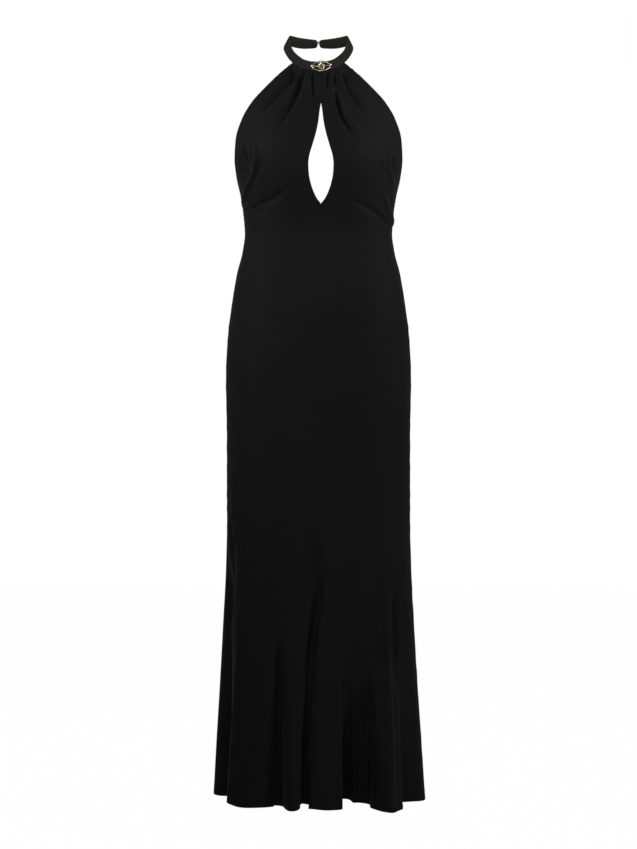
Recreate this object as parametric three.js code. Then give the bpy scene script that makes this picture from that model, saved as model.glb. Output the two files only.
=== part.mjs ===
// A long halter-neck dress in black crepe, in millimetres, in the rounded form it has when it is worn.
// X runs to the wearer's left, Y to the wearer's back and Z up. The origin is the centre of the neck ring.
// Heights are mostly given as "down", the distance below the origin.
import * as THREE from "three";

// ---- driving sizes ----
const CLOTH_WALL = 1.4; // the crepe with its bonded and turned edges
const SEAM_GAP = 0.3; // between two pieces that are sewn or fastened together
const NECK_SEAM_GAP = 0.4; // between the neck band and the gathered top of the front, along the cloth
const HEM_DOWN = 1343;
const UNDERARM_DOWN = 262;
const BACK_SCOOP = 83; // how far the low back dips from the underarm to the centre back
const SCOOP_REACH = 260; // below the underarm, the length over which the dip fades out of the rows

// The neck band: a soft strip about 19 mm wide that leans outwards at its lower edge. Each edge is half an
// ellipse in front and half another behind, given by their half axes.
const BAND = {
  wall: 3,
  lower: { side: 62.8, front: 66, back: 61 },
  upper: { side: 49.5, front: 57, back: 59 },
  straighten: { from: 80, to: 120, by: 7 }, // degrees over which the upper edge comes out, so the nape is upright
  endGap: 3,
  cornerInset: 3.5, // rounding of the four corners at its ends
};

// Heights of the band's two edges at angles from the centre front. The strip climbs steeply at the sides.
const BAND_STATIONS = [
  { degrees: 0, lower: -49.3, upper: -30.2 },
  { degrees: 15, lower: -47.3, upper: -29.1 },
  { degrees: 30, lower: -41.5, upper: -25.2 },
  { degrees: 45, lower: -32.2, upper: -17.3 },
  { degrees: 60, lower: -18.2, upper: -7.8 },
  { degrees: 75, lower: -6.2, upper: 2.6 },
  { degrees: 90, lower: 2.5, upper: 14 },
  { degrees: 105, lower: 9.5, upper: 25.8 },
  { degrees: 120, lower: 13, upper: 31 },
  { degrees: 150, lower: 13, upper: 30.2 },
  { degrees: 180, lower: 12.2, upper: 28.7 },
];

// Sections of the front, from the neck seam to the hem. Each runs from edge to edge through the centre front:
// "down" and centreY place its middle, edgeDown, halfWidth and edgeY its two ends, and bend is half the
// angle that it turns through. Below the underarm a section is level and its ends are the side seams.
const FRONT_SECTIONS = [
  { down: 49.3, edgeDown: 30.7, halfWidth: 46, centreY: -66, edgeY: -45, bend: 47 },
  { down: 62, edgeDown: 50, halfWidth: 69.2, centreY: -71, edgeY: -46, bend: 50 },
  { down: 80, edgeDown: 75, halfWidth: 95, centreY: -78, edgeY: -46, bend: 55 },
  { down: 102, edgeDown: 100, halfWidth: 118, centreY: -87, edgeY: -44, bend: 60 },
  { down: 130, edgeDown: 130, halfWidth: 136.5, centreY: -97, edgeY: -36, bend: 66 },
  { down: 165, edgeDown: 165, halfWidth: 147.8, centreY: -107, edgeY: -24, bend: 72 },
  { down: 200, edgeDown: 200, halfWidth: 150, centreY: -111, edgeY: -12, bend: 78 },
  { down: 230, edgeDown: 230, halfWidth: 146.8, centreY: -109, edgeY: -1, bend: 84 },
  { down: 262, edgeDown: 262, halfWidth: 140, centreY: -104, edgeY: 8, bend: 90 },
  { down: 290, edgeDown: 290, halfWidth: 135.8, centreY: -98, edgeY: 8, bend: 90 },
  { down: 330, edgeDown: 330, halfWidth: 132.4, centreY: -93, edgeY: 7, bend: 90 },
  { down: 362, edgeDown: 362, halfWidth: 135.8, centreY: -94, edgeY: 6, bend: 90 },
  { down: 405, edgeDown: 405, halfWidth: 146.8, centreY: -98, edgeY: 7, bend: 90 },
  { down: 448, edgeDown: 448, halfWidth: 154, centreY: -102, edgeY: 8, bend: 90 },
  { down: 513, edgeDown: 513, halfWidth: 162.8, centreY: -104, edgeY: 8, bend: 90 },
  { down: 590, edgeDown: 590, halfWidth: 166.5, centreY: -103, edgeY: 8, bend: 90 },
  { down: 700, edgeDown: 700, halfWidth: 164.8, centreY: -98, edgeY: 7, bend: 90 },
  { down: 840, edgeDown: 840, halfWidth: 164.8, centreY: -97, edgeY: 6, bend: 90 },
  { down: 930, edgeDown: 930, halfWidth: 166.6, centreY: -98, edgeY: 5, bend: 90 },
  { down: 1032, edgeDown: 1032, halfWidth: 171.6, centreY: -101, edgeY: 4, bend: 90 },
  { down: 1140, edgeDown: 1140, halfWidth: 177, centreY: -106, edgeY: 3, bend: 90 },
  { down: 1240, edgeDown: 1240, halfWidth: 182.4, centreY: -110, edgeY: 1, bend: 90 },
  { down: HEM_DOWN, edgeDown: HEM_DOWN, halfWidth: 187.3, centreY: -114, edgeY: 0, bend: 90 },
];

// How far back the centre back lies. The half widths and side seams are those of the front sections.
const BACK_DEPTHS = [
  { down: UNDERARM_DOWN, y: 75 },
  { down: 345, y: 81 },
  { down: 400, y: 93 },
  { down: 480, y: 112 },
  { down: 560, y: 121 },
  { down: 700, y: 117 },
  { down: 900, y: 110 },
  { down: 1100, y: 119 },
  { down: HEM_DOWN, y: 138 },
];

const FULLNESS = 4; // how far a section stands outside its ellipse between the centre and the sides
const CUP = { x: 74, down: 205, reach: 52, depth: 22 }; // the two cups that the darts shape
const CENTRE_SHIFT = { by: 4.3, from: 300, to: 600 }; // the front's middle line lies to the wearer's left at the neck

// The teardrop opening below the neck band: half its width at each height.
const KEYHOLE = [
  { down: 107.5, half: 0 },
  { down: 122.6, half: 2.6 },
  { down: 143.7, half: 5.4 },
  { down: 164.7, half: 9.9 },
  { down: 185.7, half: 15.8 },
  { down: 206.8, half: 21.6 },
  { down: 219, half: 22.8 },
  { down: 235.6, half: 21.9 },
  { down: 249.6, half: 19.2 },
  { down: 263.6, half: 14.7 },
  { down: 277.6, half: 7.9 },
  { down: 287.4, half: 0 },
];
const KEYHOLE_TOP = KEYHOLE[0].down;
const KEYHOLE_BOTTOM = KEYHOLE.at(-1).down;

// Folds that open towards the hem. Angles are in degrees round the skirt from the centre front to the wearer's
// left. depth is how far the fold stands out at the hem, left and right are the widths of its two flanks in
// degrees, top is where it starts, drift is how far it has turned since then, and drop is extra length at the hem.
const FOLDS = [
  { angle: -103, depth: 4, left: 8, right: 7, top: 850, drift: 0, drop: 0 },
  { angle: -76, depth: -18, left: 7.5, right: 8, top: 800, drift: 0, drop: 0 },
  { angle: -43, depth: 12, left: 7, right: 10, top: 930, drift: 0, drop: 1 },
  { angle: -22, depth: -25, left: 4.5, right: 4, top: 1040, drift: 1, drop: 0 },
  { angle: -13.5, depth: 15, left: 4, right: 4, top: 1100, drift: 0, drop: 4 },
  { angle: -7.7, depth: -34, left: 3.4, right: 3.2, top: 900, drift: -5.5, drop: -2 },
  { angle: 5, depth: 12, left: 7, right: 9, top: 1000, drift: 2, drop: 3 },
  { angle: 19.5, depth: -50, left: 4, right: 5.5, top: 1050, drift: -2, drop: -3 },
  { angle: 40, depth: 24, left: 9, right: 6, top: 960, drift: -3, drop: 9 },
  { angle: 62, depth: -14, left: 5, right: 8, top: 1000, drift: 3, drop: 0 },
  { angle: 88, depth: 3, left: 8, right: 8, top: 1000, drift: 0, drop: 1 },
  { angle: 113, depth: -17, left: 8, right: 7, top: 1020, drift: -2, drop: 0 },
  { angle: 134, depth: 13, left: 9, right: 9, top: 960, drift: 2, drop: 4 },
  { angle: 154, depth: -28, left: 8, right: 6, top: 930, drift: 4, drop: -2 },
  { angle: 176, depth: 10, left: 9, right: 9, top: 1000, drift: 0, drop: 3 },
  { angle: -161, depth: -24, left: 7, right: 8, top: 990, drift: -3, drop: -2 },
  { angle: -138, depth: 15, left: 9, right: 9, top: 940, drift: -2, drop: 4 },
  { angle: -119, depth: -15, left: 7, right: 7, top: 1080, drift: 2, drop: 0 },
];

// Gathers that fan out from the neck seam, as straight soft creases seen from the front. A positive depth
// stands out of the cloth. Each fades at both ends.
const GATHERS = [
  { fromX: -40, fromDown: 50, toX: -101, toDown: 124, depth: -2.5, width: 5 },
  { fromX: -33, fromDown: 50, toX: -62, toDown: 104, depth: 2, width: 5 },
  { fromX: -24, fromDown: 52, toX: -69, toDown: 146, depth: -4, width: 6 },
  { fromX: -16, fromDown: 52, toX: -27, toDown: 86, depth: 1.5, width: 4 },
  { fromX: -9.5, fromDown: 54, toX: -12, toDown: 108, depth: -1.8, width: 4 },
  { fromX: 29, fromDown: 72, toX: 45, toDown: 145, depth: -3.5, width: 5 },
  { fromX: 32, fromDown: 76, toX: 57, toDown: 156, depth: 2.5, width: 5 },
  { fromX: 34, fromDown: 50, toX: 66, toDown: 106, depth: -2.5, width: 5 },
];

// How the panels are divided. Each stretch of the front is cut into rows of equal height.
const FRONT_STRETCHES = [
  { to: KEYHOLE_TOP, rows: 5 },
  { to: UNDERARM_DOWN, rows: 11 },
  { to: KEYHOLE_BOTTOM, rows: 3 },
  { to: 480, rows: 6 },
  { to: HEM_DOWN, rows: 14 },
];
const FRONT_HALF_COLUMNS = 20;
const BACK_HALF_COLUMNS = 12;
const BAND_COLUMNS = 48;
const BAND_ROWS = 3;

// ---- small helpers ----
const radians = THREE.MathUtils.degToRad;
const mix = THREE.MathUtils.lerp;
const clamp = THREE.MathUtils.clamp;
const smooth = THREE.MathUtils.smoothstep;
const bell = (distance) => Math.exp(-0.5 * distance * distance);
const evenly = (from, to, steps) => Array.from({ length: steps + 1 }, (_, i) => mix(from, to, i / steps));

// One column of a table as a smooth function of its key column that passes through every row without
// overshooting: a cubic whose slope at each row is the harmonic mean of the slopes on either side.
function column(table, name, key = "down") {
  const at = table.map((row) => row[key]);
  const value = table.map((row) => row[name]);
  const rate = value.slice(1).map((next, i) => (next - value[i]) / (at[i + 1] - at[i]));
  const slope = value.map((_, i) => {
    if (i === 0) return rate[0];
    if (i === rate.length) return rate[i - 1];
    return rate[i - 1] * rate[i] > 0 ? (2 * rate[i - 1] * rate[i]) / (rate[i - 1] + rate[i]) : 0;
  });
  return (where) => {
    if (where <= at[0]) return value[0] + slope[0] * (where - at[0]);
    const last = at.length - 1;
    if (where >= at[last]) return value[last] + slope[last] * (where - at[last]);
    const i = at.findIndex((next) => next > where) - 1;
    const span = at[i + 1] - at[i];
    const t = (where - at[i]) / span;
    const start = (1 + 2 * t) * (1 - t) ** 2 * value[i] + t * (1 - t) ** 2 * span * slope[i];
    const end = t * t * (3 - 2 * t) * value[i + 1] - t * t * (1 - t) * span * slope[i + 1];
    return start + end;
  };
}

const section = {
  edgeDown: column(FRONT_SECTIONS, "edgeDown"),
  halfWidth: column(FRONT_SECTIONS, "halfWidth"),
  centreY: column(FRONT_SECTIONS, "centreY"),
  edgeY: column(FRONT_SECTIONS, "edgeY"),
  bend: column(FRONT_SECTIONS, "bend"),
  backY: column(BACK_DEPTHS, "y"),
  keyhole: column(KEYHOLE, "half"),
};
const bandEdge = {
  lower: column(BAND_STATIONS, "lower", "degrees"),
  upper: column(BAND_STATIONS, "upper", "degrees"),
};

// ---- shaping of the cloth ----

// Half the width of the teardrop opening at a height, 0 above and below it.
const keyholeHalf = (down) => (down > KEYHOLE_TOP && down < KEYHOLE_BOTTOM ? section.keyhole(down) : 0);

// How far a fold has opened at a height, from 0 at its top to 1 at the hem, slowly at first.
const openness = (fold, down) => clamp((down - fold.top) / (HEM_DOWN - fold.top), 0, 1) ** 1.5;

// The sum of one measure of all folds at an angle and height: each is a bell whose two flanks differ in width.
function foldSum(measure, degrees, down) {
  return FOLDS.reduce((sum, fold) => {
    const open = openness(fold, down);
    const centre = fold.angle - fold.drift * (1 - open);
    const away = THREE.MathUtils.euclideanModulo(degrees - centre + 180, 360) - 180;
    return sum + fold[measure] * open * bell(away / (away < 0 ? fold.left : fold.right));
  }, 0);
}

// How far the gathers lift the cloth at a place on the front: each is a bell across its line, faded at its ends.
function gatherLift(x, down) {
  return GATHERS.reduce((sum, gather) => {
    const runX = gather.toX - gather.fromX;
    const runDown = gather.toDown - gather.fromDown;
    const length = Math.hypot(runX, runDown);
    const along = ((x - gather.fromX) * runX + (down - gather.fromDown) * runDown) / length ** 2;
    const aside = ((x - gather.fromX) * runDown - (down - gather.fromDown) * runX) / length;
    if (along <= 0 || along >= 1) return sum;
    return sum + gather.depth * Math.sin(Math.PI * Math.sqrt(along)) * bell(aside / gather.width);
  }, 0);
}

// A point of a level or tilted section: part of an ellipse through its middle, pushed out by fullness and folds.
// degrees is measured round the section from the centre front, and reach is the section's half depth.
function sectionPoint({ degrees, wide, middleY, reach, down, height }) {
  const angle = radians(degrees);
  const out = new THREE.Vector2(Math.sin(angle) / wide, -Math.cos(angle) / reach).normalize();
  const skirt = smooth(down, UNDERARM_DOWN, UNDERARM_DOWN + 60);
  const push = skirt * FULLNESS * Math.sin(2 * angle) ** 2 + foldSum("depth", degrees, down);
  const x = wide * Math.sin(angle) + out.x * push;
  const y = middleY - reach * Math.cos(angle) + out.y * push;
  return new THREE.Vector3(x, y, -height - foldSum("drop", degrees, down));
}

// The front's middle surface. side is -1 or 1, and t runs from 0 at the centre front to 1 at the edge.
function frontPoint(side, t, down) {
  const bend = radians(section.bend(down));
  const halfWidth = section.halfWidth(down);
  const edgeY = section.edgeY(down);
  const reach = (edgeY - section.centreY(down)) / (1 - Math.cos(bend));
  const wide = halfWidth / Math.sin(bend);
  const slit = Math.asin(keyholeHalf(down) / wide) / bend;
  const lastTurn = bend - SEAM_GAP / 2 / reach;
  const turned = side * lastTurn * (t + slit * (1 - t) ** 2);
  const shift = CENTRE_SHIFT.by * (1 - smooth(down, CENTRE_SHIFT.from, CENTRE_SHIFT.to));
  const angle = turned + Math.asin(shift / wide) * (1 - (turned / lastTurn) ** 2);
  const tilt = (1 - Math.cos(angle)) / (1 - Math.cos(bend));
  const point = sectionPoint({
    degrees: THREE.MathUtils.radToDeg(angle),
    wide,
    middleY: section.centreY(down) + reach,
    reach,
    down,
    height: mix(down, section.edgeDown(down), tilt),
  });
  const away = Math.hypot(Math.abs(point.x) - CUP.x, -point.z - CUP.down) / CUP.reach;
  const lift = CUP.depth * bell(away) * (1 - Math.abs(angle / bend) ** 4);
  point.y -= lift + gatherLift(point.x, -point.z);
  return point;
}

// The middle surface of half the back. side is -1 or 1, and t runs from 0 at the side seam to 1 at the centre
// back. down is the height at the side seam, and the rows dip towards the centre back.
function backPoint(side, t, down) {
  const reachedDown = (down - UNDERARM_DOWN) / SCOOP_REACH;
  const dip = BACK_SCOOP * Math.max(0, 1 - reachedDown) ** 2 * Math.sin((Math.PI / 2) * t);
  const height = down + dip;
  const wide = section.halfWidth(height);
  const sideY = section.edgeY(height);
  const reach = section.backY(height) - sideY;
  const first = Math.PI / 2 + SEAM_GAP / 2 / reach;
  const last = Math.PI - SEAM_GAP / 2 / wide;
  const degrees = side * THREE.MathUtils.radToDeg(mix(first, last, t));
  return sectionPoint({ degrees, wide, middleY: sideY, reach, down: height, height });
}

// The neck band's middle surface. degrees runs round from the centre front, across from 1 at the upper edge
// to -1 at the lower.
function bandPoint(degrees, across) {
  const angle = radians(degrees);
  const behind = Math.cos(angle) < 0;
  const edge = ({ side, front, back }, height) =>
    new THREE.Vector3(side * Math.sin(angle), -(behind ? back : front) * Math.cos(angle), height(Math.abs(degrees)));
  const { from, to, by } = BAND.straighten;
  const upperSide = BAND.upper.side + by * smooth(Math.abs(degrees), from, to);
  const lower = edge(BAND.lower, bandEdge.lower);
  const upper = edge({ ...BAND.upper, side: upperSide }, bandEdge.upper);
  return lower.lerp(upper, (across + 1) / 2);
}

// ---- walls from grids ----

// A middle point with its outward normal: the cross product of the surface's directions down and across.
function place(surface, across, down) {
  const step = 0.001;
  const point = surface(across, down);
  const alongDown = surface(across, down + step).sub(surface(across, down - step));
  const alongAcross = surface(across + step, down).sub(surface(across - step, down));
  return { point, normal: alongDown.cross(alongAcross).normalize() };
}

// A closed wall of even thickness. Each grid holds rows from the top down, each from left to right seen from
// outside. Places shared by two grids join them, and every open edge gets a rim.
function wallOf(grids, thickness) {
  const places = [...new Set(grids.flat(2))];
  const indexOf = new Map(places.map((spot, i) => [spot, i]));
  const faces = [];
  for (const grid of grids) {
    for (let r = 0; r + 1 < grid.length; r++) {
      for (let c = 0; c + 1 < grid[r].length; c++) {
        const corners = [grid[r][c], grid[r + 1][c], grid[r + 1][c + 1], grid[r][c + 1]];
        const [a, b, d, e] = corners.map((spot) => indexOf.get(spot));
        faces.push([a, b, d], [a, d, e]);
      }
    }
  }
  const inner = places.length;
  const index = [];
  const edges = new Set();
  for (const [a, b, c] of faces) {
    index.push(a, b, c, inner + a, inner + c, inner + b);
    edges.add(`${a},${b}`).add(`${b},${c}`).add(`${c},${a}`);
  }
  for (const edge of edges) {
    const [a, b] = edge.split(",").map(Number);
    if (!edges.has(`${b},${a}`)) index.push(b, a, inner + a, b, inner + a, inner + b);
  }
  const offset = (amount) => places.flatMap(({ point, normal }) => point.clone().addScaledVector(normal, amount).toArray());
  const positions = [...offset(thickness / 2), ...offset(-thickness / 2)];
  const geometry = new THREE.BufferGeometry();
  geometry.setAttribute("position", new THREE.Float32BufferAttribute(positions, 3));
  geometry.setIndex(index);
  geometry.computeVertexNormals();
  return geometry;
}

// ---- the cloth pieces ----

// The heights of the rows of the front, from the neck seam to the hem.
function frontRows() {
  const rows = [FRONT_SECTIONS[0].down + NECK_SEAM_GAP];
  for (const stretch of FRONT_STRETCHES) rows.push(...evenly(rows.at(-1), stretch.to, stretch.rows).slice(1));
  return rows;
}

// The front is two grids that share their centre column above and below the teardrop opening.
function frontGeometry() {
  const rows = frontRows();
  const half = (side) => {
    const steps = evenly(0, 1, FRONT_HALF_COLUMNS);
    if (side < 0) steps.reverse();
    return rows.map((down) => steps.map((t) => place((across, height) => frontPoint(side, side * across, height), side * t, down)));
  };
  const left = half(-1);
  const right = half(1);
  rows.forEach((down, r) => {
    if (keyholeHalf(down) < 0.01) right[r][0] = left[r].at(-1);
  });
  return wallOf([left, right], CLOTH_WALL);
}

// Half of the back, from the side seam to the centre back, with the front's rows below the underarm.
function backGeometry(side) {
  const steps = evenly(0, 1, BACK_HALF_COLUMNS);
  if (side < 0) steps.reverse();
  const rows = frontRows().filter((down) => down >= UNDERARM_DOWN);
  const surface = (across, height) => backPoint(side, side * across, height);
  const grid = rows.map((down) => steps.map((t) => place(surface, side * t, down)));
  return wallOf([grid], CLOTH_WALL);
}

// The neck band runs all the way round, and its ends stop short of each other at the nape.
function bandGeometry() {
  const gapAngle = THREE.MathUtils.radToDeg(BAND.endGap / 2 / BAND.lower.side);
  const insetAngle = THREE.MathUtils.radToDeg(BAND.cornerInset / BAND.lower.side);
  const acrosses = evenly(1, -1, BAND_ROWS);
  const last = 180 - gapAngle;
  const surface = (degrees, minusAcross) => bandPoint(degrees, -minusAcross);
  const grid = acrosses.map((across) => {
    const end = last - insetAngle * across ** 8;
    return evenly(-last, last, BAND_COLUMNS).map((degrees) => place(surface, clamp(degrees, -end, end), -across));
  });
  return wallOf([grid], BAND.wall);
}

// ---- the metal trim ----

const ORNAMENT = {
  length: 37,
  height: 20,
  thickness: 1.8,
  strip: 2.6, // width of the pointed oval's rim
  bar: 2.2, // width of the bar from tip to tip
  lozenge: { halfWidth: 6, halfHeight: 8 },
  bevel: 0.35,
  atDegrees: 5, // round the band from the centre front
  below: 0.6, // below the band's middle line
  lift: 1, // its back is this far from the band's curve, which leaves SEAM_GAP at the facets
};

// The outline of one half of a pointed oval is an arc: its radius follows from the oval's length and height.
function ornamentGeometry() {
  const { length, height, strip, bar, lozenge, thickness, bevel } = ORNAMENT;
  const radius = (length ** 2 + height ** 2) / (4 * height);
  const centre = radius - height / 2;
  const turn = Math.asin(length / 2 / radius);
  const outline = new THREE.Shape();
  outline.absarc(0, -centre, radius, Math.PI / 2 - turn, Math.PI / 2 + turn, false);
  outline.absarc(0, centre, radius, -Math.PI / 2 - turn, -Math.PI / 2 + turn, false);
  const inside = radius - strip;
  const low = bar / 2;
  const tip = Math.asin((centre + low) / inside);
  const top = Math.acos((0.1 * lozenge.halfWidth) / inside);
  const lozengeX = lozenge.halfWidth * (1 - low / lozenge.halfHeight);
  for (const [mirrorX, mirrorY] of [[1, 1], [-1, 1], [-1, -1], [1, -1]]) {
    const arc = evenly(tip, top, 8).map((a) => [inside * Math.cos(a), inside * Math.sin(a) - centre]);
    const corners = [[lozengeX, low], ...arc].map(([x, y]) => new THREE.Vector2(mirrorX * x, mirrorY * y));
    outline.holes.push(new THREE.Path(corners));
  }
  const geometry = new THREE.ExtrudeGeometry(outline, {
    depth: thickness - 2 * bevel,
    curveSegments: 12,
    bevelEnabled: true,
    bevelThickness: bevel,
    bevelSize: bevel,
    bevelOffset: -bevel,
    bevelSegments: 1,
  });
  geometry.translate(0, 0, bevel);
  return wrapOnBand(geometry);
}

// Wraps a flat piece round the front of the neck band: its x runs round the band, y up it and z out of it.
function wrapOnBand(geometry) {
  const perDegree = radians((BAND.lower.side + BAND.upper.side) / 2);
  const bandHalf = bandPoint(0, 1).distanceTo(bandPoint(0, -1)) / 2;
  const position = geometry.getAttribute("position");
  const surface = (degrees, minusAcross) => bandPoint(degrees, -minusAcross);
  for (let i = 0; i < position.count; i++) {
    const degrees = ORNAMENT.atDegrees + position.getX(i) / perDegree;
    const across = (position.getY(i) - ORNAMENT.below) / bandHalf;
    const { point, normal } = place(surface, degrees, -across);
    point.addScaledVector(normal, BAND.wall / 2 + ORNAMENT.lift + position.getZ(i));
    position.setXYZ(i, point.x, point.y, point.z);
  }
  geometry.deleteAttribute("uv");
  geometry.computeVertexNormals();
  return geometry;
}

const FASTENER = {
  wire: 0.9,
  insideY: 56.85, // the wire's middle, just inside the band's ends
  z: 22.5,
  hookReach: 1.7, // how far the hook's bend passes the centre back
  curl: 2.4, // between the hook's two layers
  strands: 1.9, // between its two strands
  eyeHalf: 2.9, // half the height of the eye's loop
  foot: 9.5, // where the feet are sewn on, from the centre back
};

// A round wire through a list of points.
function wireGeometry(points, steps) {
  const round = new THREE.Shape();
  round.absarc(0, 0, FASTENER.wire / 2, 0, 2 * Math.PI, false);
  const path = new THREE.CatmullRomCurve3(points.map((point) => new THREE.Vector3(...point)), false, "centripetal");
  return new THREE.ExtrudeGeometry(round, { steps, curveSegments: 4, bevelEnabled: false, extrudePath: path });
}

// The hook: a doubled wire that leaves one end of the band, passes the gap and turns back on itself.
function hookGeometry() {
  const { insideY: y, z, hookReach, curl, strands, foot } = FASTENER;
  const strand = (half) => [
    [-foot, y - 0.45, z + half],
    [-foot * 0.6, y + 0.05, z + half],
    [-1, y, z + half],
    [hookReach - 0.9, y - 0.1, z + half],
    [hookReach, y - curl / 2, z + half],
    [hookReach - 0.9, y - curl + 0.1, z + half],
    [-1.6, y - curl, z + half * 0.9],
  ];
  const points = [...strand(strands / 2), [-2.6, y - curl, z], ...strand(-strands / 2).reverse()];
  return wireGeometry(points, 36);
}

// The eye: a loop from the other end of the band, whose end bar lies inside the hook's bend.
function eyeGeometry() {
  const { insideY: y, z, curl, eyeHalf, foot } = FASTENER;
  const inBend = y - curl / 2;
  const leg = (half) => [
    [foot, y - 0.8, z + half * 1.2],
    [foot * 0.6, y - 0.25, z + half * 1.05],
    [3, y - 0.5, z + half],
    [1.2, inBend, z + half * 0.9],
    [0.35, inBend, z + half * 0.55],
  ];
  const points = [...leg(eyeHalf), [0.2, inBend, z], ...leg(-eyeHalf).reverse()];
  return wireGeometry(points, 32);
}

// ---- materials and scene graph ----
const crepe = () => new THREE.MeshStandardMaterial({ color: 0x151516, roughness: 0.85, metalness: 0 });
const gold = () => new THREE.MeshStandardMaterial({ color: 0xd9c48a, roughness: 0.28, metalness: 1 });
const steel = () => new THREE.MeshStandardMaterial({ color: 0x8c8d90, roughness: 0.35, metalness: 1 });

function piece(name, geometry, material) {
  const mesh = new THREE.Mesh(geometry, material);
  mesh.name = name;
  return mesh;
}

const dress = new THREE.Group();
dress.add(
  piece("neck_band", bandGeometry(), crepe()),
  piece("front", frontGeometry(), crepe()),
  piece("back_left", backGeometry(1), crepe()),
  piece("back_right", backGeometry(-1), crepe()),
  piece("ornament", ornamentGeometry(), gold()),
  piece("hook", hookGeometry(), steel()),
  piece("eye", eyeGeometry(), steel()),
);

export default dress;
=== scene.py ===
# The looks of a long black crepe halter-neck dress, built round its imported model. Everything is in metres:
# X to the wearer's left, Y to the wearer's back, Z up, with the origin in the middle of the neck ring.
# In the tables lengths are in millimetres, angles in degrees, and "down" is the distance below the origin.
import math
import bpy
import numpy as np
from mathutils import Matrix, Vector


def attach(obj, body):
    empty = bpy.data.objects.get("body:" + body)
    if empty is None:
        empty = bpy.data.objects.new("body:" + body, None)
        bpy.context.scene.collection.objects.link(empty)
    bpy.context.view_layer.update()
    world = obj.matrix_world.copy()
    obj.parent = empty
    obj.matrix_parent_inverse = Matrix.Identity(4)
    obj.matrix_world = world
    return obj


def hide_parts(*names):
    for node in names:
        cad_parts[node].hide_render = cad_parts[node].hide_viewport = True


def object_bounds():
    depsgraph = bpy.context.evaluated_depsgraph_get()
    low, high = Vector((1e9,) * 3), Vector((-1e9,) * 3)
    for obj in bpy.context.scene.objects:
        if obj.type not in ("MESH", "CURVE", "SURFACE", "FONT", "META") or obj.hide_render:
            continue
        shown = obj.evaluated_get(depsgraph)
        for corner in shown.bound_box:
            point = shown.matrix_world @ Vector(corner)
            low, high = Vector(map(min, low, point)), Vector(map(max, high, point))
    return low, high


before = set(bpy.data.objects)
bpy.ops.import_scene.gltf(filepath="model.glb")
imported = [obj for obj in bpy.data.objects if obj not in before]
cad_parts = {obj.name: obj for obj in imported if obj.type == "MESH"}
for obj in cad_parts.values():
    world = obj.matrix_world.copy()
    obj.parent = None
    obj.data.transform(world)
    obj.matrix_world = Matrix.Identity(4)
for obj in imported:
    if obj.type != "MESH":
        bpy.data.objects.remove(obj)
cadBox = [list(corner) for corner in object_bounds()]
cadLow, cadHigh = (np.array(corner) for corner in cadBox)
print("frame loaded:", ", ".join(sorted(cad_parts)))


mm = 0.001


def table(names, rows):
    # one array for each named column, its lengths made metres
    columns = zip(names.split(), np.array(rows, float).T)
    return {name: values * (1 if name in ("bend", "degrees") else mm) for name, values in columns}


def records(names, rows):
    # one small dictionary for each row
    return [dict(zip(names.split(), row)) for row in rows]


def bell(distance):
    # exp(-distance squared / 2): 1 in the middle, near 0 from bellReach on
    return np.exp(-0.5 * distance * distance)


bellReach = 3.3


def smoothStep(value, low, high):
    # 0 below low, 1 above high, and 3 t^2 - 2 t^3 between them
    t = np.clip((value - low) / (high - low), 0, 1)
    return t * t * (3 - 2 * t)


def runningSum(steps):
    # 0 and then the sum of the steps so far, along the last direction
    return np.concatenate([np.zeros_like(steps[..., :1]), np.cumsum(steps, axis=-1)], axis=-1)


def wholeTurn(count):
    # equal steps once round, without the last
    return np.linspace(0, 2 * math.pi, count, endpoint=False)


def cubic(t, span, start, stop, startSlope, stopSlope):
    # from start to stop as t runs from 0 to 1 over the span, with the given slopes at the two ends
    first = (1 + 2 * t) * (1 - t) ** 2 * start + t * (1 - t) ** 2 * span * startSlope
    return first + (t * t * (3 - 2 * t) * stop - t * t * (1 - t) * span * stopSlope)


def smoothCurve(at, to):
    # a cubic through every row that doesn't overshoot: the slope at a row is the harmonic mean of its
    # neighbours' rates, and beyond the ends the curve runs straight on
    rate = np.diff(to) / np.diff(at)
    same = rate[:-1] * rate[1:] > 0
    total = np.where(same, rate[:-1] + rate[1:], 1)
    slope = np.concatenate([rate[:1], np.where(same, 2 * rate[:-1] * rate[1:] / total, 0), rate[-1:]])

    def curve(where):
        i = np.clip(np.searchsorted(at, where, side="right") - 1, 0, len(at) - 2)
        span = at[i + 1] - at[i]
        t = np.clip((where - at[i]) / span, 0, 1)
        beyond = slope[0] * np.minimum(where - at[0], 0) + slope[-1] * np.maximum(where - at[-1], 0)
        return cubic(t, span, to[i], to[i + 1], slope[i], slope[i + 1]) + beyond

    return curve


def unit(vectors):
    # each vector divided by its length
    return vectors / np.maximum(np.linalg.norm(vectors, axis=-1, keepdims=True), 1e-12)


def signedPower(values, power):
    # each value raised to a power with its sign kept: cos and sin treated so draw a superellipse
    return np.sign(values) * np.abs(values) ** power


def addToScene(name, data):
    # a new object that holds the data
    thing = bpy.data.objects.new(name, data)
    bpy.context.scene.collection.objects.link(thing)
    return thing


def makeMesh(name, points, faces, maps=None):
    # faces is a list of arrays of corner numbers; maps holds a (points, 2) array for each UV map
    mesh = bpy.data.meshes.new(name)
    sizes = np.concatenate([np.full(len(group), group.shape[1]) for group in faces])
    corners = np.concatenate([group.ravel() for group in faces]).astype(np.int32)
    starts = runningSum(sizes)[:-1].astype(np.int32)
    mesh.vertices.add(len(points))
    mesh.vertices.foreach_set("co", np.ascontiguousarray(points, np.float32).ravel())
    mesh.loops.add(len(corners))
    mesh.loops.foreach_set("vertex_index", corners)
    mesh.polygons.add(len(sizes))
    mesh.polygons.foreach_set("loop_start", starts)
    mesh.update(calc_edges=True)
    for mapName, values in (maps or {}).items():
        layer = mesh.uv_layers.new(name=mapName)
        layer.data.foreach_set("uv", values[corners].astype(np.float32).ravel())
    mesh.polygons.foreach_set("use_smooth", np.ones(len(sizes), bool))
    mesh.validate()
    return addToScene(name, mesh)


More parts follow.
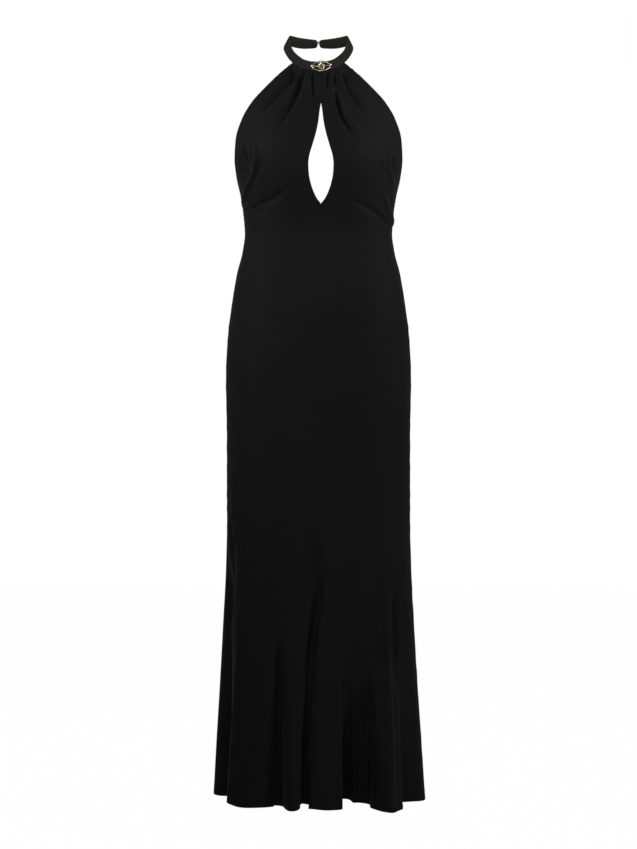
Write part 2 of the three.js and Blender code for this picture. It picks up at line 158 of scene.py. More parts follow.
def gridFaces(index):
    # quads of a grid of point numbers, whose rows run down and columns from left to right seen from outside
    a, b, c, d = index[:-1, :-1], index[1:, :-1], index[1:, 1:], index[:-1, 1:]
    return np.stack([a, b, c, d], -1).reshape(-1, 4)


def pointNormals(points, quads):
    # the sum of the cross products of the diagonals of the quads round each point, made unit length
    corner = points[quads]
    across = np.cross(corner[:, 2] - corner[:, 0], corner[:, 3] - corner[:, 1])
    total = np.zeros_like(points)
    for k in range(4):
        np.add.at(total, quads[:, k], across)
    return unit(total)


def clothShell(name, points, quads, outside, inside, maps):
    # a closed shell: the outer side stands "outside" above the middle surface and the inner side "inside"
    # below it, and half an ellipse of several rings rounds every open edge
    rings = 3
    normals = pointNormals(points, quads)
    count = len(points)
    start = quads.ravel()
    stop = np.roll(quads, -1, axis=1).ravel()
    openEdge = ~np.isin(start * count + stop, stop * count + start)
    start, stop = start[openEdge], stop[openEdge]
    rimPoints, place = np.unique(np.concatenate([start, stop]), return_inverse=True)
    rimStart, rimStop = place[: len(start)], place[len(start):]
    along = unit(points[stop] - points[start])
    outward = np.zeros((len(rimPoints), 3))
    for end in (rimStart, rimStop):
        np.add.at(outward, end, np.cross(along, normals[rimPoints[end]]))
    outward = unit(outward)
    thick = np.stack([outside, inside])
    shell = [points + normals * outside[:, None], points - normals * inside[:, None]]
    ringIndex = [rimPoints]
    for step in range(1, rings + 1):
        turn = math.pi * step / (rings + 1)
        side = thick[0 if math.cos(turn) > 0 else 1][rimPoints]
        half = thick[:, rimPoints].mean(0)
        lift = normals[rimPoints] * (side * math.cos(turn))[:, None]
        ringIndex.append(np.arange(len(rimPoints)) + sum(len(part) for part in shell))
        shell.append(points[rimPoints] + lift + outward * (half * math.sin(turn))[:, None])
    ringIndex.append(rimPoints + count)
    faces = [quads, quads[:, ::-1] + count]
    for near, far in zip(ringIndex[:-1], ringIndex[1:]):
        faces.append(np.stack([near[rimStop], near[rimStart], far[rimStart], far[rimStop]], -1))
    allMaps = {
        key: np.concatenate([values, values] + [values[rimPoints]] * rings) for key, values in maps.items()
    }
    return makeMesh(name, np.concatenate(shell), [np.concatenate(faces)], allMaps)


def tubeMesh(name, rings, ends=None, maps=None):
    # rings of points that turn counter-clockwise seen from the last ring: each end is closed by a fan round
    # its point in ends, and without ends the last ring joins the first
    count, around = rings.shape[:2]
    index = np.arange(count * around).reshape(count, around)
    index = np.hstack([index, index[:, :1]])
    points = rings.reshape(-1, 3)
    if ends is None:
        index = np.vstack([index, index[:1]])
        return makeMesh(name, points, [gridFaces(index)[:, ::-1]], maps)
    tip = np.full(around, len(points))
    fanStart = np.stack([index[0, 1:], index[0, :-1], tip], -1)
    fanStop = np.stack([index[-1, :-1], index[-1, 1:], tip + 1], -1)
    faces = [gridFaces(index)[:, ::-1], np.concatenate([fanStart, fanStop])]
    return makeMesh(name, np.concatenate([points, ends]), faces, maps)


def sweptMesh(name, path, side, up, profile, closed=False):
    # the profile (side, up) carried along the path; the path, side and up directions are right-handed
    rings = path[:, None] + side[:, None] * profile[None, :, :1] + up[:, None] * profile[None, :, 1:]
    return tubeMesh(name, rings, None if closed else path[[0, -1]])


def joined(name, parts):
    # several meshes as one object, each still a closed shell of its own
    bpy.ops.object.select_all(action="DESELECT")
    for part in parts:
        part.select_set(True)
    bpy.context.view_layer.objects.active = parts[0]
    bpy.ops.object.join()
    parts[0].name = parts[0].data.name = name
    return parts[0]


studio = {
    "cameraAway": 4.0,
    "cameraDrop": 0.0137,  # the camera looks this far below the middle of the dress
    "lens": 94.23,
    "floorGap": 0.045,  # from the hem down to the floor
    "floorHalf": 6.0,
    "floorWhite": 0.99,  # how much of the floor's look is plain white, so that only a faint shadow shows
    "ambient": 0.112,  # light from all round
    "softboxes": [  # name, place, aim, width and height, watts and degrees of spread
        ("frontNear", (0, -1.1, -0.14), (0, 0, -0.16), (0.8, 0.5), 4.1, 180),
        ("frontLow", (-0.1, -1.5, -1.1), (0, 0, -1.05), (0.8, 0.6), 3.6, 180),
        ("leftSide", (-1.3, -0.3, 0.25), (0, 0, -0.22), (0.4, 0.7), 1.3, 66),
        ("rightSide", (1.3, -0.3, 0.25), (0, 0, -0.22), (0.4, 0.7), 1.5, 66),
        ("leftNeck", (-0.7, -0.6, 0.3), (0, 0, 0), (0.3, 0.3), 0.33, 60),
        ("rightNeck", (0.7, -0.6, 0.3), (0, 0, 0), (0.3, 0.3), 0.36, 60),
        ("leftMiddle", (-1.2, -0.9, -0.4), (0, 0, -0.6), (0.3, 0.4), 0.37, 50),
        ("rightLow", (1.4, -0.5, -0.9), (0, 0, -0.95), (0.3, 0.8), 1.1, 90),
        ("behind", (0, 1.8, 0.2), (0, 0, -0.45), (1.2, 1.2), 8, 180),
    ],
}


def makeCamera():
    # level, straight in front, at the middle height of the dress
    data = bpy.data.cameras.new("frontCamera")
    data.lens = studio["lens"]
    camera = addToScene("frontCamera", data)
    camera.location = (0, -studio["cameraAway"], (cadLow[2] + cadHigh[2]) / 2 - studio["cameraDrop"])
    camera.rotation_euler = (math.pi / 2, 0, 0)
    bpy.context.scene.camera = camera


makeCamera()
print("camera set")

dressCut = {
    "hemDown": 1.343,
    "underarmDown": 0.262,
    "backScoop": 0.083,  # how far the low back dips to the centre back
    "scoopReach": 0.260,
    "wall": 0.0011,
    "turnedEdge": 0.0006,  # what a turned edge adds to the wall
    "edgeWidth": 0.0055,
    "hemDepth": 0.018,
    "hemOutside": 0.00012,  # what the turned-up hem adds to the wall's outer side
    "hemInside": 0.0009,
    "plainEdge": 0.008,  # creases fade out within this of the side seams and armholes
    "seamPinch": 0.0010,
    "seamWidth": 0.0022,
    "seamGap": 0.00012,
    "fullness": 0.004,  # how far the skirt stands out halfway between the centre and the side
    "cup": {"x": 0.074, "down": 0.207, "reach": 0.060, "depth": 0.0185},
    "centreShift": {"by": 0.0043, "start": 0.300, "stop": 0.600},
}
hemDown, underarmDown = dressCut["hemDown"], dressCut["underarmDown"]

frontSections = table("down edgeDown halfWidth centreY edgeY bend", [
    (49.3, 30.7, 46, -66, -45, 47),
    (62, 50, 69.2, -71, -46, 50),
    (80, 75, 95, -78, -46, 55),
    (102, 100, 118, -87, -44, 60),
    (130, 130, 136.5, -97, -36, 66),
    (165, 165, 147.8, -107, -24, 72),
    (200, 200, 150, -111, -12, 78),
    (230, 230, 146.8, -109, -1, 84),
    (262, 262, 140, -104, 8, 90),
    (290, 290, 135.8, -98, 8, 90),
    (330, 330, 132.4, -93, 7, 90),
    (362, 362, 135.8, -94, 6, 90),
    (405, 405, 146.8, -98, 7, 90),
    (448, 448, 154, -102, 8, 90),
    (513, 513, 162.8, -104, 8, 90),
    (590, 590, 166.5, -103, 8, 90),
    (700, 700, 164.8, -98, 7, 90),
    (840, 840, 164.8, -97, 6, 90),
    (930, 930, 166.6, -98, 5, 90),
    (1032, 1032, 171.6, -101, 4, 90),
    (1140, 1140, 177, -106, 3, 90),
    (1240, 1240, 182.4, -110, 1, 90),
    (1343, 1343, 187.3, -114, 0, 90),
])
backDepths = table("down y", [
    (262, 75), (345, 81), (400, 93), (480, 112), (560, 121),
    (700, 117), (900, 110), (1100, 119), (1343, 138),
])
keyhole = table("down half", [
    (104, 0), (116, 2.2), (122.6, 3.1), (143.7, 5.6), (164.7, 9.9),
    (185.7, 15.8), (206.8, 21.6), (219, 22.8), (235.6, 21.9), (249.6, 19.2),
    (263.6, 14.7), (277.6, 7.9), (287.4, 0),
])
keyholeTop, keyholeBottom = keyhole["down"][0], keyhole["down"][-1]

# Folds that open towards the hem: degrees round the skirt from the centre front to the wearer's left, how
# far out at the hem, the widths of the two flanks in degrees, where it starts, its turn since then and its
# extra length.
folds = records("angle depth left right top drift drop", [
    (-98, 3, 8, 8, 850, 0, -4),
    (-77.5, -45, 6, 10.5, 800, 0, -3),
    (-57, 9.5, 1.8, 5, 880, -3, -1),
    (-43, 12, 7, 10, 930, 0, 3),
    (-22, -27, 3, 2.5, 1030, 1, 2),
    (-13.5, 15, 4, 4, 1100, 0, 4),
    (-7.7, -36, 1.4, 0.9, 890, -6.8, -2),
    (5, 12, 7, 9, 1000, 2, 3),
    (17.6, -50, 2.2, 5.5, 1030, -2, -3),
    (27.5, -36, 5, 2.9, 1060, 0, 0),
    (38.5, 21, 7.6, 3.6, 940, -3, 9),
    (47, 15, 4.2, 2, 1060, -2, 6),
    (56, -16, 3.6, 7, 980, 0, 1),
    (75, 6, 7, 6, 1000, 0, 1),
    (88, 3, 8, 8, 1000, 0, 1),
    (113, -17, 6, 5, 1020, -2, 0),
    (134, 13, 9, 7, 960, 2, 4),
    (152, -34, 5, 3, 900, 5, -2),
    (162, 6, 3, 4, 980, 3, 2),
    (176, 8, 8, 8, 1000, 0, 3),
    (-165, -32, 3.2, 4.6, 960, -4, -2),
    (-152, -12, 3, 3, 1080, -2, 0),
    (-139, 15, 7, 6, 940, -2, 4),
    (-123, -22, 3.6, 6, 1020, 3, 0),
])

sectionAt = {key: smoothCurve(frontSections["down"], frontSections[key]) for key in frontSections}
backYAt = smoothCurve(backDepths["down"], backDepths["y"])
keyholeAt = smoothCurve(keyhole["down"], keyhole["half"])


def foldSum(measure, degrees, down):
    # each fold opens as the power 1.5 of the way from its top to the hem, and across it is a bell whose two
    # flanks differ in width
    total = np.zeros(np.broadcast(degrees, down).shape)
    for fold in folds:
        opened = np.clip((down - fold["top"] * mm) / (hemDown - fold["top"] * mm), 0, 1) ** 1.5
        centre = fold["angle"] - fold["drift"] * (1 - opened)
        away = (degrees - centre + 180) % 360 - 180
        total += fold[measure] * opened * bell(away / np.where(away < 0, fold["left"], fold["right"]))
    return total * mm


def sectionPoint(angle, wide, middleY, reach, down, height):
    # an ellipse's point (wide sin a, middleY - reach cos a), pushed out along its normal by the fullness
    # between centre and side and by the folds
    degrees = np.degrees(angle)
    outX, outY = np.sin(angle) / wide, -np.cos(angle) / reach
    size = np.hypot(outX, outY)
    skirt = smoothStep(down, underarmDown, underarmDown + 0.06)
    push = skirt * dressCut["fullness"] * np.sin(2 * angle) ** 2 + foldSum("depth", degrees, down)
    x = wide * np.sin(angle) + outX / size * push
    y = middleY - reach * np.cos(angle) + outY / size * push
    return np.stack(np.broadcast_arrays(x, y, -height - foldSum("drop", degrees, down)), -1)


def frontPoint(side, t, down):
    # side is -1 or 1, t runs from 0 at the middle of the front to 1 at its edge: part of an ellipse that
    # bends through the row's angle, parted at the keyhole, its middle line shifted and a cup pushed out
    bend = np.radians(sectionAt["bend"](down))
    edgeY, centreY = sectionAt["edgeY"](down), sectionAt["centreY"](down)
    reach = (edgeY - centreY) / (1 - np.cos(bend))
    wide = sectionAt["halfWidth"](down) / np.sin(bend)
    half = np.where((down > keyholeTop) & (down < keyholeBottom), keyholeAt(down), 0)
    slit = np.arcsin(half / wide) / bend
    lastTurn = bend - dressCut["seamGap"] / 2 / reach
    turned = side * lastTurn * (t + slit * (1 - t) ** 2)
    shift = dressCut["centreShift"]
    moved = shift["by"] * (1 - smoothStep(down, shift["start"], shift["stop"]))
    angle = turned + np.arcsin(moved / wide) * (1 - (turned / lastTurn) ** 2)
    tilt = (1 - np.cos(angle)) / (1 - np.cos(bend))
    height = down + (sectionAt["edgeDown"](down) - down) * tilt
    point = sectionPoint(angle, wide, centreY + reach, reach, down, height)
    cup = dressCut["cup"]
    away = np.hypot(np.abs(point[..., 0]) - cup["x"], -point[..., 2] - cup["down"]) / cup["reach"]
    point[..., 1] -= cup["depth"] * bell(away) * (1 - np.abs(angle / bend) ** 4)
    return point


def backPoint(side, t, down):
    # t runs from 0 at the side seam to 1 at the centre back: a quarter of an ellipse, in rows that dip by a
    # quarter sine towards the centre
    reached = (down - underarmDown) / dressCut["scoopReach"]
    dip = dressCut["backScoop"] * np.maximum(0, 1 - reached) ** 2 * np.sin(math.pi / 2 * t)
    height = down + dip
    wide, sideY = sectionAt["halfWidth"](height), sectionAt["edgeY"](height)
    reach = backYAt(height) - sideY
    first = math.pi / 2 + dressCut["seamGap"] / 2 / reach
    last = math.pi - dressCut["seamGap"] / 2 / wide
    return sectionPoint(side * (first + (last - first) * t), wide, sideY, reach, height, height)


def creaseShape(crease, x, down, wider=1.0):
    # how near each point is to a crease: a smooth line runs through its points, across it stands a bell whose
    # two flanks differ in width, and along it the bell fades in and out
    corners = np.array(crease["line"], float) * mm
    at = runningSum(np.linalg.norm(np.diff(corners, axis=0), axis=1))
    fine = np.linspace(0, at[-1], 4 * len(at) + 1)
    line = np.stack([smoothCurve(at, corners[:, k])(fine) for k in (0, 1)], -1)
    start, run = line[:-1], np.diff(line, axis=0)
    place = np.stack([x, down], -1)
    reach = bellReach * wider * mm * max(crease["left"], crease["right"])
    near = np.all((place > line.min(0) - reach) & (place < line.max(0) + reach), axis=-1)
    offset = place[near][:, None] - start
    share = np.clip((offset * run).sum(-1) / (run * run).sum(-1), 0, 1)
    offset = offset - share[..., None] * run
    away = np.linalg.norm(offset, axis=-1)
    best = away.argmin(1)[:, None]
    turn = offset[..., 0] * run[:, 1] - offset[..., 1] * run[:, 0]
    away, share, turn = (np.take_along_axis(values, best, 1)[:, 0] for values in (away, share, turn))
    along = (best[:, 0] + share) / len(run)
    fade = smoothStep(along, 0, crease["fadeIn"]) * smoothStep(1 - along, 0, crease["fadeOut"])
    width = np.where(turn < 0, crease["left"], crease["right"]) * mm * wider
    shape = np.zeros(x.shape)
    shape[near] = fade * bell(away / width)
    return shape


def creaseLift(x, down, creases):
    # each crease's depth times its shape; valleys are negative
    return sum(crease["depth"] * mm * creaseShape(crease, x, down) for crease in creases)


def creaseTable(rows):
    # its points, how far out, the widths of its two flanks and the shares over which it fades in and out
    return records("line depth left right fadeIn fadeOut", rows)


# Gathers that fan out below the neck band: narrow valleys with round rolls between them.
neckGathers = creaseTable([
    ([(-39, 44), (-44, 57), (-53, 69), (-66, 81), (-79, 98), (-90, 111), (-101, 129)],
     -7.4, 4.6, 2.6, 0.04, 0.3),
    ([(-40, 46), (-46, 58), (-55, 70)], -3, 3.4, 2.6, 0.1, 0.5),
    ([(-38, 62), (-49, 79), (-65, 94), (-82, 113), (-93, 127)], 2.6, 3, 3.6, 0.3, 0.4),
    ([(-27, 46), (-30, 59), (-35, 77), (-42, 94), (-54, 121), (-68, 150), (-79, 170)],
     -10.5, 4.2, 3.8, 0.04, 0.55),
    ([(-36, 52), (-44, 76), (-52, 97), (-64, 120)], 4, 3.2, 3.6, 0.2, 0.5),
    ([(-18, 50), (-21, 66), (-27, 92), (-32, 112)], 3.4, 3.4, 3.4, 0.15, 0.6),
    ([(-11, 52), (-10.8, 66), (-9.8, 86), (-10, 108)], -6, 1.9, 2.4, 0.05, 0.4),
    ([(-4.5, 54), (-4, 72), (-3.4, 92)], 1.4, 2.6, 2.6, 0.1, 0.6),
    ([(17, 51), (15.6, 62), (15.4, 84)], -6.6, 1.9, 2.2, 0.05, 0.4),
    ([(27, 52), (28, 66), (28.4, 80)], -4.6, 1.8, 2, 0.06, 0.35),
    ([(22.4, 52), (22.6, 64), (22.4, 80)], 1.4, 1.8, 1.8, 0.1, 0.5),
    ([(28.6, 74), (31, 90), (34.6, 107), (38.4, 124), (47, 142), (57, 161), (66, 178)],
     -9.5, 2.9, 3.6, 0.22, 0.4),
    ([(36, 80), (41, 96), (48, 116), (54, 136), (67, 160), (76, 178)], 4.6, 3, 3.4, 0.25, 0.45),
    ([(41, 45), (45, 56), (52, 74), (65, 104), (80, 130)], -6.5, 2.8, 3.4, 0.06, 0.55),
    ([(50, 58), (62, 82), (72, 100)], 3, 3, 3.6, 0.25, 0.6),
    ([(33, 45), (35, 52), (37, 62)], -5.4, 2, 2.2, 0.12, 0.5),
    ([(-45, 42), (-49, 49), (-56, 57)], -5.4, 1.8, 2.4, 0.12, 0.5),
    ([(-35, 46), (-36, 52), (-38, 60)], -4.6, 1.8, 2, 0.12, 0.5),
    ([(-22, 48), (-22.6, 54), (-23, 62)], -1.8, 1.5, 1.5, 0.12, 0.5),
    ([(48, 44), (54, 54), (62, 64)], -2, 1.8, 2.2, 0.15, 0.5),
    ([(81, 66), (97, 84), (114, 108), (132, 140)], -1.8, 4.5, 3, 0.35, 0.45),
    ([(-70, 60), (-92, 84), (-112, 110), (-126, 140)], -1.5, 3, 4.5, 0.35, 0.45),
])

# Drag folds in front of the armholes, and the darts that run in from the side seams below the cups.
bodiceCreases = creaseTable([
    ([(-125, 180), (-121, 198), (-117, 214), (-112, 224)], 4.2, 2.6, 2.2, 0.3, 0.25),
    ([(-112.5, 176), (-109, 200), (-110, 218), (-116, 236), (-124, 252), (-131, 269), (-135, 286)],
     5.4, 3.2, 2.4, 0.18, 0.15),
    ([(-104, 206), (-107, 228), (-116, 250)], -1.8, 3, 4, 0.4, 0.4),
    ([(-129, 182), (-129.5, 214), (-127, 250)], -8, 5.5, 4.2, 0.35, 0.35),
    ([(-117, 184), (-115, 206)], -1.8, 2, 2, 0.35, 0.35),
    ([(-134, 150), (-133, 196)], 1.8, 4, 5, 0.4, 0.4),
    ([(-134, 290), (-116, 287), (-100, 283), (-84, 276)], -5.6, 3.2, 2.6, 0.12, 0.35),
    ([(-104, 282), (-84, 277), (-66, 268), (-46, 256)], -3.6, 6, 3, 0.35, 0.5),
    ([(-128, 300), (-108, 298), (-84, 288)], -3.4, 5, 3.4, 0.3, 0.45),
    ([(-120, 287), (-114, 286)], -4, 2.4, 2.2, 0.4, 0.4),
    ([(-108, 281), (-102, 280)], -2, 2, 2, 0.4, 0.4),
    ([(-98, 284), (-90, 281)], 1.6, 2, 2, 0.4, 0.4),
    ([(-94, 277), (-88, 275)], -1.8, 1.8, 2, 0.4, 0.4),
    ([(-112, 293), (-104, 292)], -2, 2.2, 2, 0.4, 0.4),
    ([(-128, 276), (-122, 281), (-117, 284)], 1.4, 1.8, 1.8, 0.4, 0.4),
    ([(126, 178), (124.8, 200), (125, 218), (130, 240), (136, 262)], 3, 2.4, 3, 0.25, 0.3),
    ([(110, 198), (115, 214), (121.5, 236)], 2.2, 2.4, 2.2, 0.3, 0.35),
    ([(117, 214), (119, 228), (124, 244)], -1.6, 2, 2, 0.35, 0.35),
    ([(113, 256), (117, 270), (124, 290), (132, 310), (131, 322)], 3.4, 3.6, 2.6, 0.25, 0.2),
    ([(131, 196), (133, 216), (134.5, 232)], -3.6, 2.6, 3.2, 0.35, 0.35),
    ([(126, 262), (130, 280), (133, 296)], -2.2, 2, 2.6, 0.35, 0.35),
    ([(50, 276), (80, 288), (104, 300), (121, 314), (131, 322)], -4.8, 3.4, 2.6, 0.55, 0.12),
    ([(98, 300), (108, 306)], -1.4, 2, 2, 0.4, 0.4),
    ([(113, 309), (120, 315)], -1.8, 2, 2, 0.4, 0.4),
])

# Long creases of the skirt's front: they sharpen the folds that reach the hem and run on above them.
skirtCreases = creaseTable([
    ([(-5, 830), (-5, 900), (-3, 965)], -5.5, 9, 6, 0.5, 0.4),
    ([(18, 880), (20, 940), (15, 1010)], 2.6, 6, 10, 0.45, 0.45),
    ([(7, 870), (6, 915), (5, 956), (0, 1001), (-8, 1050), (-14, 1107), (-17, 1163), (-21, 1219),
      (-23, 1352)], -9, 5, 2.6, 0.28, 0.02),
    ([(-2, 950), (-10, 1010), (-20, 1070), (-27, 1150)], -4, 10, 5, 0.35, 0.4),
    ([(-71, 1045), (-70, 1110), (-70, 1200), (-72, 1352)], -9, 3.2, 3, 0.18, 0.02),
    ([(-48, 1160), (-46.5, 1260), (-46.5, 1352)], 6, 4, 3.2, 0.35, 0.02),
    ([(36, 1040), (37, 1150), (38, 1352)], 2.2, 4, 3, 0.35, 0.02),
    ([(45, 1080), (46, 1200), (47.5, 1352)], -12, 2.6, 8, 0.25, 0.02),
    ([(61, 1150), (61.5, 1260), (62, 1352)], 6, 3.2, 3.6, 0.35, 0.02),
    ([(83, 1090), (86, 1220), (84, 1300), (80, 1352)], -12, 8, 5, 0.4, 0.02),
    ([(119, 915), (118, 1020), (121, 1130)], 6.4, 3.2, 3, 0.35, 0.35),
    ([(133, 940), (136, 1040), (139, 1160)], -8, 2.8, 3.2, 0.3, 0.35),
    ([(116, 1000), (122, 1130), (126, 1240), (127, 1352)], 5.6, 6, 3.8, 0.2, 0.02),
    ([(-155, 780), (-148, 847), (-143, 887), (-140, 928), (-144, 985)], 5, 2.4, 3, 0.3, 0.35),
    ([(-160, 820), (-158, 880), (-152, 940)], 3, 2, 2.2, 0.35, 0.35),
    ([(-155, 850), (-152, 900), (-149, 960)], -3.4, 2.2, 2.4, 0.35, 0.4),
    ([(-159, 925), (-156, 960), (-157, 1010), (-160, 1050)], -5, 2.6, 2.8, 0.35, 0.45),
    ([(-110, 1000), (-108, 1120), (-104, 1240)], -1.6, 12, 10, 0.45, 0.45),
    ([(100, 860), (96, 950), (92, 1040)], -2, 10, 10, 0.45, 0.45),
])


def rowHeights(first, stretches):
    # equal steps within each stretch
    rows = [np.array([first])]
    for to, step in np.array(stretches) * mm:
        start = rows[-1][-1]
        rows.append(np.linspace(start, to, round((to - start) / step) + 1)[1:])
    return np.concatenate(rows)


def arcAcross(points):
    # distance along each row from its first column
    return runningSum(np.linalg.norm(np.diff(points, axis=1), axis=2))


def fromSides(arc, side):
    # the distances from a half's outer edge and from its middle, whichever way its columns run
    return (arc, arc[:, -1:] - arc)[::-side]


def gridNormals(points):
    # the cross product of the grid's directions down and across
    down = np.gradient(points, axis=0)
    across = np.gradient(points, axis=1)
    return unit(np.cross(down, across))


frontColumns = {
    "perHalf": 96,
    "samples": 480,  # places measured across each row
    "crowd": 2.2,  # how much closer the columns stand at a crease
    "crowdReach": 1.8,  # how much wider than the crease that is
    "crowdAtEnds": 1.5,
    "endReach": 0.005,
    "smoothing": 24,
}


def crowdedColumns(side, rows, creases):
    # the places across each row that split its length evenly once the length is weighed by 1 + crowd near a
    # crease and by 1 + crowdAtEnds near both ends; averaging over the rows keeps the columns smooth
    fine = np.linspace(0, 1, frontColumns["samples"])
    points = frontPoint(side, fine[None, :], rows)
    length = arcAcross(points)
    x, down = points[..., 0], -points[..., 2]
    near = sum(creaseShape(crease, x, down, frontColumns["crowdReach"]) for crease in creases)
    fromEnd = np.minimum(length, length[:, -1:] - length)
    atEnds = frontColumns["crowdAtEnds"] * bell(fromEnd / frontColumns["endReach"])
    weight = 1 + frontColumns["crowd"] * np.minimum(near, 1) + atEnds
    weighed = np.diff(length, axis=1) * (weight[:, 1:] + weight[:, :-1]) / 2
    share = runningSum(weighed)
    even = np.linspace(0, 1, frontColumns["perHalf"] + 1)
    places = np.stack([np.interp(even, row / row[-1], fine) for row in share])
    for _ in range(frontColumns["smoothing"]):
        places[1:-1] = (places[:-2] + 2 * places[1:-1] + places[2:]) / 4
    return places


frontPiece = {
    "stretches": [  # down to here, in steps of about this, in millimetres
        (107.5, 1.7), (262, 2.6), (287.4, 2.4), (330, 3.2), (450, 8),
        (860, 12), (1318, 7.8), (1343, 3),
    ],
    "tuck": 0.0024,  # how far it runs up into the neck band
    "gather": {"depth": 0.0008, "reach": 0.014, "long": 0.0094, "short": 0.0059, "wander": 0.037},
    "seamTuck": {"depth": 0.00035, "length": 0.0085, "wander": 0.021, "in": 0.005, "width": 0.003},
    "edgeRoll": {"depth": 0.0009, "in": 0.0095, "width": 0.0024},
    "centreSeam": {"pinch": 0.0009, "width": 0.0015},
}


def gatheredRipple(place, away):
    # small uneven tucks below the neck band: a long sine that wanders in phase and a short one, dying out
    # exponentially away from the seam
    gather = frontPiece["gather"]
    phase = 2 * math.pi * place
    long = np.sin(phase / gather["long"] + 1.6 * np.sin(phase / gather["wander"]))
    short = 0.6 * np.sin(phase / gather["short"] + 0.8)
    return gather["depth"] * ((long + short) * np.exp(-np.maximum(away, 0) / gather["reach"]))


def frontHalf(side):
    # one half of the front as a grid, its columns from left to right: the section's surface, lifted along
    # its normal by creases, ripples and pinched seams, with each point's distances from the edges
    seamDown = frontSections["down"][0]
    rows = rowHeights(seamDown - frontPiece["tuck"], frontPiece["stretches"])[:, None]
    creases = neckGathers + bodiceCreases + skirtCreases
    t = crowdedColumns(side, rows, creases)
    if side < 0:
        t = t[:, ::-1]
    points = frontPoint(side, t, rows)
    normals = gridNormals(points)
    x, down = points[..., 0], -points[..., 2]
    arc = arcAcross(points)
    fromEdge, fromMiddle = fromSides(arc, side)
    lift = creaseLift(x, down, creases) * smoothStep(fromEdge, 0, dressCut["plainEdge"])
    belowSeam = rows - seamDown
    ripple = gatheredRipple(x + 0.1, belowSeam)
    middle, tuck, roll = (frontPiece[key] for key in ("centreSeam", "seamTuck", "edgeRoll"))
    sideSeam = smoothStep(rows, underarmDown - 0.01, underarmDown + 0.01)
    sideSeam = sideSeam * bell(fromEdge / dressCut["seamWidth"])
    centreSeam = bell(fromMiddle / middle["width"]) * smoothStep(keyholeTop - rows, 0, 0.01)
    lift += ripple - dressCut["seamPinch"] * sideSeam - middle["pinch"] * centreSeam
    tucks = np.sin(2 * math.pi * rows / tuck["length"] + 2 * np.sin(rows / tuck["wander"]))
    tucks = tucks * (rows > underarmDown)
    lift += tuck["depth"] * tucks * bell((fromEdge - tuck["in"]) / tuck["width"])
    armhole = (1 - smoothStep(rows, underarmDown - 0.03, underarmDown)) * smoothStep(belowSeam, 0.004, 0.02)
    lift -= roll["depth"] * armhole * bell((fromEdge - roll["in"]) / roll["width"])
    lift *= smoothStep(belowSeam, -0.0005, 0.003)
    points = points + normals * lift[..., None]
    finished = np.where(rows < underarmDown, fromEdge, 1)
    inKeyhole = (rows > keyholeTop) & (rows < keyholeBottom)
    finished = np.minimum(finished, np.where(inKeyhole, fromMiddle, 1))
    toSeam = np.where(rows > underarmDown, fromEdge, 1) + 0 * arc
    place = np.stack([side * fromMiddle, -down], -1)
    return points, rows + 0 * arc, finished, toSeam, place


def edgeThickness(finished, down):
    # the wall's two half thicknesses: a turned edge and a turned-up hem add to both, most to the inner side
    width, hemTop = dressCut["edgeWidth"], hemDown - dressCut["hemDepth"]
    turned = dressCut["turnedEdge"] * (1 - smoothStep(finished, 0.6 * width, width))
    hemUp = smoothStep(down, hemTop - 0.002, hemTop + 0.001)
    outside = dressCut["wall"] / 2 + 0.4 * turned + dressCut["hemOutside"] * hemUp
    inside = dressCut["wall"] / 2 + 0.6 * turned + dressCut["hemInside"] * hemUp
    return outside, inside


def makeFront():
    # both halves as one closed wall: they share their middle points above and below the keyhole
    left, right = frontHalf(-1), frontHalf(1)
    shape = left[0].shape[:2]
    size = shape[0] * shape[1]
    leftIndex = np.arange(size).reshape(shape)
    rightIndex = leftIndex + size
    rows = left[1][:, 0]
    together = (rows <= keyholeTop + 1e-6) | (rows >= keyholeBottom - 1e-6)
    rightIndex[together, 0] = leftIndex[together, -1]
    points, down, finished, toSeam, place = (
        np.concatenate([a.reshape(size, -1), b.reshape(size, -1)]) for a, b in zip(left, right)
    )
    quads = np.concatenate([gridFaces(leftIndex), gridFaces(rightIndex)])
    used, quads = np.unique(quads, return_inverse=True)
    quads = quads.reshape(-1, 4)
    outside, inside = edgeThickness(finished[used, 0], down[used, 0])
    maps = {"cut": place[used], "seam": np.hstack([toSeam[used], finished[used]])}
    return clothShell("frontPanel", points[used], quads, outside, inside, maps)


backPiece = {
    "columns": 84,
    "stretches": [(300, 3.5), (450, 5.8), (860, 9.5), (1315, 6.6), (1343, 2.8)],
    "crowdAtEnds": 0.35,
    "centreSeamWidth": 0.0018,
}
backCreases = creaseTable([
    ([(125, 300), (100, 322), (70, 352)], 2.4, 5, 5, 0.3, 0.6),
    ([(128, 330), (96, 362), (60, 400)], -2.6, 6, 6, 0.3, 0.6),
    ([(129, 372), (104, 392), (78, 418)], 2, 5, 6, 0.3, 0.6),
    ([(20, 560), (48, 590), (85, 640)], -1.8, 8, 8, 0.4, 0.6),
    ([(16, 700), (30, 850), (50, 1000)], 3, 10, 12, 0.45, 0.45),
    ([(120, 760), (126, 900), (128, 1050)], -4, 10, 12, 0.45, 0.45),
    ([(60, 900), (66, 1040), (66, 1200)], -5, 12, 6, 0.45, 0.4),
])


